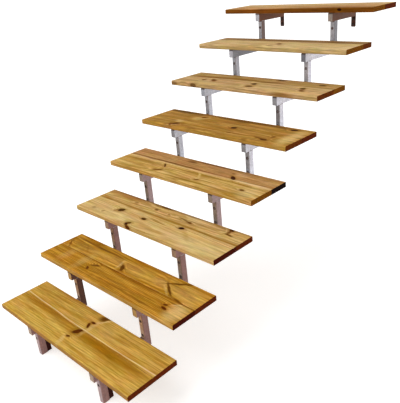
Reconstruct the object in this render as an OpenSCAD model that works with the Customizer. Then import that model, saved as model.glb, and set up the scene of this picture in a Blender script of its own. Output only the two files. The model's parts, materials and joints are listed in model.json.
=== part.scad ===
// Outdoor flight of open pine treads on two chains of folded galvanised brackets.
// Every bracket is an arm under its tread and a post under that arm. The post reaches down to the
// rear plate of the arm below and bolts to it, so the brackets carry each other from the ground to
// the wall. The first posts stand on the ground over a foot each, and the last arms bolt to the wall.
// X runs along the treads, +Y up the flight towards the wall, +Z up. The origin is on the rear face
// of the left wall plate, between its two bolt holes.

/* [Flight] */
// Number of treads
step_count = 8; // [3:1:10]
// Height from one tread's top to the next
rise = 172; // [150:1:210]
// Height of the first tread's top above the ground
first_rise = 205; // [170:1:250]
// Distance between the middles of the two bracket chains
chain_spacing = 500; // [400:10:700]
// Gap between the last tread's rear edge and the wall
wall_gap = 2; // [0:1:10]

/* [Treads] */
// Length of a tread, across the flight
tread_length = 1000; // [800:10:1200]
// Depth of a tread, from its front edge to its rear edge
tread_depth = 262; // [210:1:320]
// Thickness of a tread
tread_thickness = 27; // [22:1:45]
// How far each tread reaches over the one below
tread_overlap = 0; // [0:1:30]
// Radius of the rounded front edge
nosing_radius = 6; // [3:1:10]
// Radius of the rounded rear edge
rear_edge_radius = 3; // [1:1:6]
// Radius of the rounded arrises across the ends of a tread
end_arris = 2; // [1:0.5:5]
// Width of the groove along the middle of a tread
groove_width = 5; // [2:0.5:8]
// Depth of that groove
groove_depth = 3; // [1:0.5:6]

/* [Brackets] */
// Width of every folded bracket, across the flight
bracket_width = 28; // [24:1:40]
// Thickness of the folded sheet
sheet = 3; // [2:0.5:4]
// Inner radius of the bends in the sheet
bend_inner = 1.5; // [0.5:0.5:3]
// Height of an arm
arm_height = 45; // [35:1:60]
// How far an arm's closed nose stands in front of its post
nose_reach = 24; // [15:1:40]
// Depth of a post, from its front face to its open rear
post_depth = 32; // [25:1:45]
// Clear distance between a post and the rear edge of the tread below
post_gap = 28; // [20:1:60]
// How far an arm's rear plate hangs below the arm, to end level with the post that it joins
joint_drop = 4; // [0:1:20]
// How far the last arms' rear plates hang below them, down the wall
wall_drop = 60; // [45:1:80]
// Radius of the rounded corners at the foot of a rear plate
plate_corner_radius = 6; // [2:1:10]

/* [Holes] */
// Radius of the bolt holes and the adjusting holes
hole_radius = 5.5; // [4:0.5:6.5]
// Depth of a joint's upper bolt below the arm's top
joint_depth = 14; // [13:1:18]
// Distance between the two bolts of a joint
joint_pitch = 22; // [20:1:30]
// Height of the last arms' underside above the upper wall bolt
wall_bolt_drop = 16; // [12:1:20]
// Distance between the two wall bolts
wall_bolt_pitch = 30; // [20:1:35]
// Depth of a post's first adjusting hole below its arm
adjust_drop = 38; // [20:1:60]
// Distance between the adjusting holes down a post
adjust_pitch = 75; // [40:5:100]
// Least height of an adjusting hole above the joint's upper bolt
adjust_margin = 20; // [15:1:40]
// Radius of the holes for the tread screws, up through an arm
screw_radius = 3.5; // [2.5:0.25:4]
// Distance from the rear of a post to the front screw
screw_setback = 25; // [15:1:35]
// Distance from a tread's rear edge to the rear screw
screw_margin = 45; // [30:1:60]

/* [Feet] */
// How far a foot stands out behind its post
foot_reach = 26; // [15:1:40]
// How deep a foot slides into its post
foot_lap = 20; // [10:1:24]
// Height of a foot
foot_height = 110; // [60:1:120]
// Clearance between a foot and the post around it
foot_clearance = 0.3; // [0.1:0.1:0.8]
// Radius of the anchor hole in a foot's sole
anchor_radius = 4.5; // [3:0.5:5]

/* [Hidden] */
$fn = 48;
cut = 1;                                     // how far a cut runs past the surface it opens
sides = ["left", "right"];

bend_radius = sheet + bend_inner;
going = tread_depth - tread_overlap;
post_front = tread_overlap + post_gap;       // behind the front edge of the post's own tread
arm_front = post_front - nose_reach;
arm_top = -tread_thickness;                  // heights in a step count from its tread's top
arm_bottom = arm_top - arm_height;
joint_heights = [arm_top - joint_depth, arm_top - joint_depth - joint_pitch];
wall_heights = [arm_bottom - wall_bolt_drop, arm_bottom - wall_bolt_drop - wall_bolt_pitch];
post_bottom = arm_bottom - joint_drop - rise;  // level with the rear plate of the arm below
adjust_room = rise + arm_bottom - adjust_drop - adjust_margin - joint_heights[0];
adjust_heights = [
    for (hole = [0 : floor(adjust_room / adjust_pitch)]) arm_bottom - adjust_drop - hole * adjust_pitch
];
screw_places = [post_front + post_depth + screw_setback, tread_depth - screw_margin];
foot_width = bracket_width - 2 * sheet - 2 * foot_clearance;
foot_front = post_front + post_depth - foot_lap;
foot_rear = post_front + post_depth + foot_reach;
wall_plane = (step_count - 1) * going + tread_depth + wall_gap;
wall_bolts_middle = first_rise + (step_count - 1) * rise + (wall_heights[0] + wall_heights[1]) / 2;

// Puts a step's own frame, with its origin at the front edge of the tread's top, into the flight.
module at_step(step) {
    translate([0, (step - 1) * going - wall_plane, first_rise + (step - 1) * rise - wall_bolts_middle])
        children();
}

// Puts a bracket in the left or the right chain.
module at_side(side) {
    translate([side == "left" ? 0 : chain_spacing, 0, 0])
        children();
}

// A rectangle from x = 0 and y = 0 with its four corners rounded.
module rounded_rectangle(width, height, radius) {
    translate([radius, 0])
        square([width - 2 * radius, height]);
    translate([0, radius])
        square([width, height - 2 * radius]);
    for (x = [radius, width - radius], y = [radius, height - radius])
        translate([x, y])
            circle(radius);
}

// A tread's end outline: x is depth from the front edge, y is height below the top, downwards.
module tread_outline() {
    half = tread_depth / 2;
    difference() {
        union() {
            rounded_rectangle(half + nosing_radius, tread_thickness, nosing_radius);
            translate([half - rear_edge_radius, 0])
                rounded_rectangle(half + rear_edge_radius, tread_thickness, rear_edge_radius);
            translate([half / 2, 0])
                square([half, tread_thickness]);
        }
        for (face = [0, tread_thickness])
            translate([half, face])
                scale([groove_width / 2, groove_depth])
                    polygon([[-1, 0], [0, face == 0 ? 1 : -1], [1, 0]]);
    }
}

// One tread with rounded edges and ends, and a groove along its middle, above and below.
module tread(step) {
    color("#C89A4E")
        at_step(step)
            translate([(chain_spacing - tread_length) / 2, 0, 0])
                intersection() {
                    rotate([90, 0, 90])
                        mirror([0, 1, 0])
                            linear_extrude(tread_length)
                                tread_outline();
                    translate([0, tread_depth + cut, -tread_thickness])
                        rotate([90, 0, 0])
                            linear_extrude(tread_depth + 2 * cut)
                                rounded_rectangle(tread_length, tread_thickness, end_arris);
                }
}

// A block whose two corners at y = 0 are rounded, as the outside or the inside of a folded sheet.
module bent_block(width, depth, radius) {
    translate([-width / 2 + radius, 0])
        square([width - 2 * radius, depth]);
    translate([-width / 2, radius])
        square([width, depth - radius]);
    for (end = [-1, 1])
        translate([end * (width / 2 - radius), radius])
            circle(radius);
}

// Section of a sheet folded into a channel: its web lies along y = 0 and its flanges run to +y.
module channel(width, depth) {
    difference() {
        bent_block(width, depth, bend_radius);
        translate([0, sheet])
            bent_block(width - 2 * sheet, depth, bend_radius - sheet);
    }
}

// Round holes along y through a web or a plate that starts at y = front.
module holes_through(front, heights, radius) {
    for (height = heights)
        translate([0, front - cut, height])
            rotate([-90, 0, 0])
                cylinder(h = sheet + 2 * cut, r = radius);
}

// The plate folded down at the rear of an arm, with its two bolt holes. Its rear face is at y = rear
// and it hangs below the arm by the drop.
module rear_plate(rear, drop, heights) {
    height = arm_height + drop;
    difference() {
        translate([-bracket_width / 2, rear, arm_top - height])
            rotate([90, 0, 0])
                linear_extrude(sheet)
                    difference() {
                        rounded_rectangle(bracket_width, height + plate_corner_radius, plate_corner_radius);
                        translate([-cut, height])
                            square([bracket_width + 2 * cut, plate_corner_radius + cut]);
                    }
        holes_through(rear - sheet, heights, hole_radius);
    }
}

// An arm: a channel open below, with a closed nose and a rear plate. It ends at y = rear. Its web
// carries the tread and has the holes for the tread's screws.
module arm_shape(rear, drop, heights) {
    difference() {
        translate([0, arm_front, arm_top])
            rotate([-90, 0, 0])
                linear_extrude(rear - arm_front)
                    channel(bracket_width, arm_height);
        for (place = screw_places)
            translate([0, place, arm_top - sheet - cut])
                cylinder(h = sheet + 2 * cut, r = screw_radius);
    }
    translate([0, arm_front, arm_top])
        rotate([-90, 0, 0])
            linear_extrude(sheet)
                bent_block(bracket_width, arm_height, bend_radius);
    rear_plate(rear, drop, heights);
}

// An arm reaches back to the post of the next step, and the last one to the wall.
module arm(side, step) {
    color("#B9BBBD")
        at_step(step)
            at_side(side)
                if (step < step_count)
                    arm_shape(going + post_front, joint_drop, joint_heights);
                else
                    arm_shape(tread_depth + wall_gap, wall_drop, wall_heights);
}

// A post: a channel open at the rear. The first one ends at the ground and has one adjusting hole,
// the others end with the rear plate that they bolt to.
module post(side, step) {
    first = step == 1;
    bottom = first ? -first_rise : post_bottom;
    lower_bolts = [for (height = joint_heights) height - rise];
    heights = first ? [adjust_heights[0]] : concat(lower_bolts, adjust_heights);
    color("#B4B1B3")
        at_step(step)
            at_side(side)
                difference() {
                    translate([0, post_front, bottom])
                        linear_extrude(arm_bottom - bottom)
                            channel(bracket_width, post_depth);
                    holes_through(post_front, heights, hole_radius);
                }
}

// A foot: a narrower channel that slides into the first post from behind, with a sole and its hole.
module foot(side) {
    depth = foot_rear - foot_front;
    color("#2B2829")
        at_step(1)
            at_side(side)
                translate([0, foot_rear, -first_rise])
                    difference() {
                        union() {
                            linear_extrude(foot_height)
                                mirror([0, 1, 0])
                                    channel(foot_width, depth);
                            linear_extrude(sheet)
                                mirror([0, 1, 0])
                                    bent_block(foot_width, depth, bend_radius);
                        }
                        translate([0, -foot_reach / 2, -cut])
                            cylinder(h = sheet + 2 * cut, r = anchor_radius);
                    }
}

for (step = [1 : step_count])
    tread(step);

for (side = sides, step = [1 : step_count])
    arm(side, step);

for (side = sides, step = [1 : step_count])
    post(side, step);

for (side = sides)
    foot(side);
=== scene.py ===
"""Looks of an outdoor flight of open pine treads on folded galvanised brackets.

The treads, arms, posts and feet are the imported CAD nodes, and keep their shapes. This script gives
each its finish, and adds the fixings: the bolts of the joints and of the plates at the wall, the
screws of the treads, and the weld beads between arms and posts. Lengths are in millimetres unless
a comment says otherwise, and positions come from the CAD nodes' own boxes, in metres.
"""

import json
import logging
import math
from collections.abc import Callable
from dataclasses import dataclass
from enum import Enum
from functools import partial
from typing import Any, ClassVar

import bmesh
import bpy
from bpy.types import Material, Node, NodeSocket, NodeTree, Object
from mathutils import Matrix, Quaternion, Vector

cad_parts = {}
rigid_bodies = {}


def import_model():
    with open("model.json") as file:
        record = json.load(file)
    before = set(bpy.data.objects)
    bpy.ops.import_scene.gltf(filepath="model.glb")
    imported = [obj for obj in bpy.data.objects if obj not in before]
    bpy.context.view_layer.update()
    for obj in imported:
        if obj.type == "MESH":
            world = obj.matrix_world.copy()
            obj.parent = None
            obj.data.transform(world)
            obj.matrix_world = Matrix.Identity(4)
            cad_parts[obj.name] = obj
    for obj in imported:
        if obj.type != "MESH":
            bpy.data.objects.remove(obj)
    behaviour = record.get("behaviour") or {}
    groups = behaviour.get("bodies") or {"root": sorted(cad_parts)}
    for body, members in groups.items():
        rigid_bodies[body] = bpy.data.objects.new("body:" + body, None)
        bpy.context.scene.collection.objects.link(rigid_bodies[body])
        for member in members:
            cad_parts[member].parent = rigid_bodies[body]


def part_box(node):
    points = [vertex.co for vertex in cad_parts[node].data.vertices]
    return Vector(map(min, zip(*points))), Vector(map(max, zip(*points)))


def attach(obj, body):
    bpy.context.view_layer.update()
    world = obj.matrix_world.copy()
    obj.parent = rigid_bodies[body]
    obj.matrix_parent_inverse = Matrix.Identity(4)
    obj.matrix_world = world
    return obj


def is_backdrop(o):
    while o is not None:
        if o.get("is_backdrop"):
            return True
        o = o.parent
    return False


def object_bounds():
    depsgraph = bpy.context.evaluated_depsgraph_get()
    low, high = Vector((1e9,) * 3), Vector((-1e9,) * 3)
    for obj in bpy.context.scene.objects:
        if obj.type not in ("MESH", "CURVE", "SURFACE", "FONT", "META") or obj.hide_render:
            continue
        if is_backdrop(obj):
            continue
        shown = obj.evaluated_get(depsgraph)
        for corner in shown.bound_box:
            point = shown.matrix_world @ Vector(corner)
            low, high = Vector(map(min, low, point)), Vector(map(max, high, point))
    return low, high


LOG = logging.getLogger("staircase")
MM = 0.001
STEPS = range(1, 9)
BODY = "root"
TOUCHING = 1e-6  # metres; closer points are one
MIDDLE = (0.3, 0.7)  # where most of a noise's values lie
WHITE = (1.0, 1.0, 1.0, 1.0)

AddNode = Callable[..., Node]
Triple = tuple[float, float, float]
Outline = list[tuple[float, float]]  # heights along an axis and radii


class Side(Enum):
    """The two chains of brackets."""

    LEFT = "left"
    RIGHT = "right"


class Kind(Enum):
    """What a mark in the wood is."""

    KNOT = "knot"  # hard dark core, with the rings bent round it
    SOFT_KNOT = "soft knot"  # a brown knot that only just reaches the face
    STAIN = "stain"  # soft brown or ochre patch of heartwood or resin
    PALE = "pale"  # soft pale patch or line of sapwood


def linear(colour: str) -> tuple[float, float, float, float]:
    """Turns an sRGB hex colour into linear RGBA.

    Args:
        colour: Six hex digits with a leading #.

    Returns:
        Linear red, green, blue and an alpha of 1.
    """
    shares = [int(colour[i : i + 2], 16) / 255 for i in (1, 3, 5)]
    red, green, blue = (s / 12.92 if s <= 0.04045 else ((s + 0.055) / 1.055) ** 2.4 for s in shares)
    return red, green, blue, 1.0


def add_node(tree: NodeTree, kind: str, *values: Any, **settings: Any) -> Node:
    """Adds one shader node with its settings and links.

    A value is a number, vector or colour, or the socket or node that feeds the input. Of a node,
    the first live output is taken.

    Args:
        tree: The node tree that gets it.
        kind: The node's type, without its ShaderNode prefix, and its operation if it has one.
        *values: The values of its first live inputs, in their order.
        **settings: Its properties, and the values of other inputs, by name with _ for a space.

    Returns:
        The new node.
    """
    kind, _, operation = kind.partition(" ")
    node = tree.nodes.new("ShaderNode" + kind)
    if operation:
        node.operation = operation
    for name in [name for name in settings if hasattr(node, name)]:
        setattr(node, name, settings.pop(name))
    live = [socket for socket in node.inputs if socket.enabled]
    named = {socket.name.replace(" ", "_"): socket for socket in live}
    pairs = [*zip(live, values), *((named[name], value) for name, value in settings.items())]
    for socket, value in pairs:
        if isinstance(value, Node):
            value = next(output for output in value.outputs if output.enabled)
        if isinstance(value, NodeSocket):
            tree.links.new(value, socket)
        else:
            socket.default_value = value
    return node


def new_material(name: str) -> tuple[Material, AddNode]:
    """Makes an empty node material.

    Args:
        name: Its name.

    Returns:
        The material, and the function that adds a node to it.
    """
    material = bpy.data.materials.new(name)
    material.use_nodes = True
    material.node_tree.nodes.clear()
    return material, partial(add_node, material.node_tree)


def drawn_out(add: AddNode, place: Node | NodeSocket, offset: Triple, sizes: Triple, *layers: float) -> Node:
    """Adds a noise with shapes of the given sizes, and the count and strength of finer layers."""
    stretched = add("Mapping", place, Location=offset, Scale=[1 / size for size in sizes])
    return add("TexNoise", stretched, Scale=1.0, **dict(zip(("Detail", "Roughness"), layers)))


def swayed(add: AddNode, base: Node | Triple, noise: Node, reach: Triple) -> Node:
    """Adds a base moved up and down by a noise's three channels, each times its own reach."""
    centred = add("VectorMath SUBTRACT", noise.outputs["Color"], (0.5, 0.5, 0.5))
    return add("VectorMath MULTIPLY_ADD", centred, reach, base)


def painted(add: AddNode, colour: Node, tone: str, strength: float, away: Node, *reach: float) -> Node:
    """Paints a tone over a colour: whole up to the nearer reach, and gone past the farther one."""
    share = add("MapRange", away, *reach, strength, 0.0, interpolation_type="SMOOTHSTEP")
    return add("Mix", share, colour, linear(tone), data_type="RGBA")


def dress(obj: Object, material: Material) -> None:
    """Gives every face of an object one material."""
    obj.data.materials.clear()
    obj.data.materials.append(material)


def new_object(name: str, data: bpy.types.ID) -> Object:
    """Makes an object and shows it.

    Args:
        name: Its name.
        data: Its mesh, lamp or camera.

    Returns:
        The object.
    """
    obj = bpy.data.objects.new(name, data)
    bpy.context.scene.collection.objects.link(obj)
    return obj


def meshed(name: str, mesh: bmesh.types.BMesh) -> Object:
    """Makes an object of a bmesh, and frees the bmesh.

    Args:
        name: Its name.
        mesh: The bmesh.

    Returns:
        The object.
    """
    data = bpy.data.meshes.new(name)
    mesh.to_mesh(data)
    mesh.free()
    return new_object(name, data)


# ------------------------------------------------------------------------------------ finishes


class Shade(Enum):
    """The shades of the marks, from pitch in a knot to pale sapwood."""

    PITCH = "#2C0C02"
    BARK = "#3E1C02"
    WALNUT = "#4E3006"
    ROSEWOOD = "#5A2A02"
    UMBER = "#5E3A0A"
    NUT = "#6A400C"
    TOBACCO = "#6E461A"
    NUTMEG = "#7C5010"
    DUN = "#7E5A2C"
    HEART = "#8E5E10"
    OLIVE = "#946C22"
    COPPER = "#A0641E"
    RESIN = "#A06A08"
    STRAW = "#A67E2C"
    BUFF = "#DAB066"
    PEACH = "#DEB480"
    SAP = "#E2BE78"
    CREAM = "#E2C890"


@dataclass(frozen=True)
class Mark:
    """One mark in a tread's wood, an ellipse right through the board.

    Its place is in millimetres along the tread from its left end and back from its front edge.
    """

    kind: Kind
    along: float
    back: float
    length: float
    width: float
    tilt: float = 0.0  # degrees, anticlockwise from above
    strength: float = 1.0
    shade: Shade | None = None  # its own, where it isn't its kind's


class Pine(Enum):
    """The shades of oiled pine, each as its spring wood, its summer wood and its darker bands."""

    HONEY = ("#DCB258", "#A87C20", "#B68428")
    AMBER = ("#D29A38", "#8A5808", "#A46C0C")
    GOLD = ("#DCAA48", "#9A660C", "#B27A0C")
    BLOND = ("#E0BE7E", "#AE8540", "#C2984E")
    WHEAT = ("#DEB670", "#A87E34", "#B88A38")
    FAWN = ("#CEA066", "#9A6C38", "#AE7C44")
    TAN = ("#C4944A", "#8C6420", "#A07228")
    SAND = ("#D4B07C", "#A4804A", "#B8945C")
    DUN = ("#C6A060", "#8C6834", "#A27E44")
    DRAB = ("#B6925F", "#825F34", "#8E6C3E")
    CREAM = ("#DEC08A", "#B0905A", "#C4A468")


class EndGrain(Enum):
    """The shades of the sawn ends, which drank more of the oil than the faces.

    They are painted darker still, as painted shade on the ends.
    """

    CHESTNUT = "#6A2808"
    RUSSET = "#763606"
    COPPER = "#8A5208"
    MAHOGANY = "#4C1204"
    SOOT = "#140402"


@dataclass(frozen=True)
class Board:
    """One of the two boards that a tread is glued from.

    The rings run round a pith line that lies outside the board and leans along it.
    """

    pine: Pine
    end: EndGrain
    ring: float = 6.0  # width of one year's ring
    pith_back: float = 60.0
    pith_height: float = -70.0  # over the tread's top
    lean: float = 0.03  # how far the rings climb per millimetre of length
    contrast: float = 1.0
    bands: float = 0.85  # how strong its darker bands are
    streaks: float = 0.34  # how much its streaks lighten and darken it


@dataclass(frozen=True)
class JointAndGrooveShading:
    """The line along the groove, pale on some treads and dark on others.

    It is painted highlight and painted shade of the groove's walls, partly the joint between the two
    boards.
    """

    tone: str
    strength: float = 0.6
    back: float = 131.0  # at the tread's left end
    width: float = 7.0
    slope: float = 0.0  # how far it moves back per millimetre to the right
    bow: float = 0.0  # how far its middle lies in front of a straight line


@dataclass(frozen=True)
class Grain:
    """The nodes that the patterns of one tread start from."""

    add: AddNode
    place: Node  # millimetres from the tread's corner, with the grain's slow wander
    rear: Node  # 0 on the front board and 1 on the rear one
    facing: Node  # the way each face looks, split into X, Y and Z
    distances: list[tuple[Mark, Node]]  # how far each mark is, where 1 is its edge


@dataclass(frozen=True)
class OiledPine:
    """Pressure-treated pine, planed, then oiled.

    To the eye: golden spring wood with darker summer lines, brown knots that bend the rings, red
    brown end grain that drank the oil and is painted darker still as painted shade, a line along the
    groove with its walls' painted highlight and painted shade, partly the joint between the boards,
    and a satin gloss that turns pale at a low angle.
    """

    name: str
    corner: Vector  # left front corner of the tread's top, in metres
    length: float  # of the tread
    front: Board
    rear: Board
    marks: tuple[Mark, ...]
    joint_and_groove_shading: JointAndGrooveShading
    front_tone: str = "#B48A46"
    front_strength: float = 0.0
    seed: float = 0.0
    roughness: float = 0.65
    split: float = 131.0  # where the boards meet, back from the front edge
    wander: Triple = (30.0, 9.0, 9.0)  # how far the grain strays along, back and up
    patches: Triple = (0.3, 0.38, 0.65)  # how much soft patches change red, green and blue

    SHADES = dict(zip(Kind, (Shade.ROSEWOOD, Shade.NUT, Shade.HEART, Shade.SAP)))
    SOFTNESS = {Kind.KNOT: 0.22, Kind.SOFT_KNOT: 0.45, Kind.STAIN: 0.7, Kind.PALE: 0.7}
    HALO = {Kind.KNOT: 0.5, Kind.SOFT_KNOT: 0.3}  # how brown the wood turns round a knot
    HALO_TONE = "#8A560C"
    HALO_REACH = (0.8, 2.4)  # as distances from a mark, as below
    SWELL = {Kind.KNOT: 9.0, Kind.SOFT_KNOT: 6.0}  # how far a knot pushes the rings aside
    SWELL_REACH = (0.4, 3.4)
    SUMMER = (0.12, 0.8)  # the part of a year over which its ring darkens
    WINTER = (0.88, 1.0)  # and the part over which it ends
    WEAKEST_YEAR = 0.2
    FRONT = (-0.5, -0.9)  # how far a face has to look to the front for the front edge's tone
    END = (0.5, 0.8)  # and sideways for end grain
    END_SUMMER = 0.4  # the lightness of summer wood in the end grain
    BAND_EDGE = (0.4, 0.62)
    JOINT_AND_GROOVE_REACH = (0.3, 0.8)  # times the width of the line along the groove
    FINE = (0.25, 0.75, 0.85, 1.15)  # the range of the fibre's noise, and the lightness it gives
    GLOSS = 0.06  # how far spring and summer wood differ in roughness, either way
    RELIEF = {"Strength": 0.25, "Distance": 0.3 * MM}

    # The sizes of the noises' shapes along, back and up, and the count and strength of their layers.
    DRIFT_NOISE = ((170, 48, 60), 2)
    BAND_NOISE = ((450, 28, 40), 4, 0.72)
    STREAK_NOISE = ((120, 10, 10), 4, 0.7)
    PATCH_NOISE = ((110, 45, 45), 3, 0.6)
    FIBRE_NOISE = ((60, 1.4, 1.4), 2, 0.6)

    def _distance(self, add: AddNode, flat: Node, mark: Mark) -> Node:
        """Adds how far a place is from the middle of a mark, where 1 is the mark's edge.

        Args:
            add: Adds a node.
            flat: The place in the plane of the top.
            mark: The mark.

        Returns:
            The node that gives the distance.
        """
        sizes = (mark.length / 2, mark.width / 2, 1e6)  # endless in height
        turn = (0, 0, math.radians(mark.tilt))
        inside = add("Mapping", flat, (mark.along, mark.back, 0), turn, sizes, vector_type="TEXTURE")
        return add("VectorMath LENGTH", inside)

    def _grain(self, add: AddNode) -> Grain:
        """Adds what the patterns start from.

        Args:
            add: Adds a node.

        Returns:
            The nodes.
        """
        source = add("TexCoord")
        own = {"vector_type": "TEXTURE", "Location": self.corner, "Scale": (MM, MM, MM)}
        true = add("Mapping", source.outputs["Object"], **own)
        drift = drawn_out(add, true, (self.seed, 2 * self.seed, 0), *self.DRIFT_NOISE)
        place = swayed(add, true, drift, self.wander)
        behind = add("SeparateXYZ", true).outputs["Y"]
        rear = add("Math GREATER_THAN", behind, self.split)
        facing = add("SeparateXYZ", source.outputs["Normal"])
        # The front edge is folded up into the plane of the top, so that marks run over both.
        parts = add("SeparateXYZ", place).outputs
        flat = add("CombineXYZ", parts["X"], add("Math ADD", parts["Y"], parts["Z"]))
        distances = [(mark, self._distance(add, flat, mark)) for mark in self.marks]
        return Grain(add, place, rear, facing, distances)

    def _late_wood(self, grain: Grain) -> Node:
        """Adds the growth rings.

        Args:
            grain: The tread's grain.

        Returns:
            A node that gives 0 in spring wood and up to 1 in summer wood.
        """
        add, front, rear = grain.add, self.front, self.rear
        piths = [(0, board.pith_back, board.pith_height) for board in (front, rear)]
        pith = add("Mix", grain.rear, *piths, data_type="VECTOR")
        offset = add("VectorMath SUBTRACT", grain.place, pith)
        across = add("VectorMath MULTIPLY", offset, (0, 1, 1))
        radius = add("VectorMath LENGTH", across)
        lean = add("Mix", grain.rear, (front.lean, 0, 0), (rear.lean, 0, 0), data_type="VECTOR")
        climb = add("VectorMath DOT_PRODUCT", grain.place, lean)
        total = add("Math ADD", radius, climb)
        for mark, distance in grain.distances:
            if mark.kind in self.SWELL:
                fall = (*self.SWELL_REACH, self.SWELL[mark.kind], 0.0)
                swell = add("MapRange", distance, *fall, interpolation_type="SMOOTHERSTEP")
                total = add("Math ADD", total, swell)
        share = add("Mix", grain.rear, 1 / front.ring, 1 / rear.ring)
        year = add("Math MULTIPLY", total, share)
        age = add("Math FRACT", year)
        darkening = add("MapRange", age, *self.SUMMER, interpolation_type="SMOOTHSTEP")
        ending = add("MapRange", age, *self.WINTER, 1.0, 0.0)
        number = add("Math FLOOR", year)
        chance = add("TexWhiteNoise", W=number, noise_dimensions="1D")
        vigour = add("MapRange", chance, To_Min=self.WEAKEST_YEAR, To_Max=1.0)
        contrast = add("Mix", grain.rear, front.contrast, rear.contrast)
        late = darkening
        for factor in (ending, vigour, contrast):
            late = add("Math MULTIPLY", late, factor)
        return late

    def _long_grain(self, grain: Grain, late: Node) -> Node:
        """Colours the faces along the grain, with their marks and the painted line along the groove.

        Args:
            grain: The tread's grain.
            late: The share of summer wood.

        Returns:
            The colour.
        """
        add, joint_and_groove_shading = grain.add, self.joint_and_groove_shading
        spring, summer, deep = (
            add("Mix", grain.rear, linear(front), linear(rear), data_type="RGBA")
            for front, rear in zip(self.front.pine.value, self.rear.pine.value)
        )
        waves = drawn_out(add, grain.place, (self.seed + 5, 0, 3), *self.BAND_NOISE)
        most = add("Mix", grain.rear, self.front.bands, self.rear.bands)
        bands = add("MapRange", waves, *self.BAND_EDGE, To_Max=most, interpolation_type="SMOOTHSTEP")
        colour = add("Mix", bands, spring, deep, data_type="RGBA")
        colour = add("Mix", late, colour, summer, data_type="RGBA")
        edge = add("MapRange", grain.facing.outputs["Y"], *self.FRONT, To_Max=self.front_strength)
        colour = add("Mix", edge, colour, linear(self.front_tone), data_type="RGBA")
        for mark, distance in grain.distances:
            halo, soft = self.HALO.get(mark.kind, 0) * mark.strength, self.SOFTNESS[mark.kind]
            if halo:
                colour = painted(add, colour, self.HALO_TONE, halo, distance, *self.HALO_REACH)
            shade = mark.shade or self.SHADES[mark.kind]
            colour = painted(add, colour, shade.value, mark.strength, distance, 1 - soft, 1 + soft)
        # The line along the groove: painted highlight and painted shade of its walls, partly the joint
        # between the boards.
        level = add("VectorMath DOT_PRODUCT", grain.place, (-joint_and_groove_shading.slope, 1, 0))
        along = add("SeparateXYZ", grain.place).outputs["X"]
        share = add("Math MULTIPLY_ADD", along, 2 / self.length, -1.0)
        square = add("Math MULTIPLY", share, share)
        level = add("Math MULTIPLY_ADD", square, -joint_and_groove_shading.bow, level)
        away = add("Math SUBTRACT", level, joint_and_groove_shading.back - joint_and_groove_shading.bow)
        away = add("Math ABSOLUTE", away)
        reach = (part * joint_and_groove_shading.width for part in self.JOINT_AND_GROOVE_REACH)
        return painted(add, colour, joint_and_groove_shading.tone, joint_and_groove_shading.strength, away, *reach)

    def _end_grain(self, grain: Grain, colour: Node, late: Node) -> Node:
        """Gives the two ends their darker end grain, which carries painted shade as well.

        Args:
            grain: The tread's grain.
            colour: The colour of the long grain.
            late: The share of summer wood.

        Returns:
            The colour of every face.
        """
        add = grain.add
        sideways = add("Math ABSOLUTE", grain.facing.outputs["X"])
        end = add("MapRange", sideways, *self.END)
        # The end grain's tones: the oil's darkening and painted shade together.
        tones = [linear(board.end.value) for board in (self.front, self.rear)]
        early = add("Mix", grain.rear, *tones, data_type="RGBA")
        darker = add("MapRange", late, To_Min=1.0, To_Max=self.END_SUMMER)
        end_grain = add("VectorMath SCALE", early, darker)
        return add("Mix", end, colour, end_grain, data_type="RGBA")

    def _streaked(self, grain: Grain, colour: Node, fibre: Node) -> Node:
        """Adds the fibre's fine lines, streaks half a finger wide and soft patches a hand long.

        Args:
            grain: The tread's grain.
            colour: The colour so far.
            fibre: The noise of the fibre.

        Returns:
            The final colour.
        """
        add = grain.add
        fine = add("MapRange", fibre, *self.FINE)
        streaks = drawn_out(add, grain.place, (2, self.seed, 0), *self.STREAK_NOISE)
        centred = add("MapRange", streaks, *MIDDLE, -1.0)
        strength = add("Mix", grain.rear, self.front.streaks, self.rear.streaks)
        coarse = add("Math MULTIPLY_ADD", centred, strength, 1.0)
        lightness = add("Math MULTIPLY", fine, coarse)
        streaked = add("VectorMath SCALE", colour, lightness)
        clouds = drawn_out(add, grain.place, (self.seed, 9, 0), *self.PATCH_NOISE)
        patches = swayed(add, (1, 1, 1), clouds, self.patches)
        return add("VectorMath MULTIPLY", streaked, patches)

    def material(self) -> Material:
        """Builds the material.

        Returns:
            The finished material.
        """
        material, add = new_material(self.name)
        grain = self._grain(add)
        late = self._late_wood(grain)
        colour = self._long_grain(grain, late)
        colour = self._end_grain(grain, colour, late)
        fibre = drawn_out(add, grain.place, (0, 0, 0), *self.FIBRE_NOISE)
        relief = add("Bump", Height=fibre, **self.RELIEF)
        dull, glossy = self.roughness + self.GLOSS, self.roughness - self.GLOSS
        gloss = add("MapRange", late, To_Min=dull, To_Max=glossy)
        look = {"Base_Color": self._streaked(grain, colour, fibre), "Roughness": gloss, "Normal": relief}
        shader = add("BsdfPrincipled", IOR=1.47, Specular_IOR_Level=0.03, **look)
        add("OutputMaterial", shader)
        return material


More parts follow.
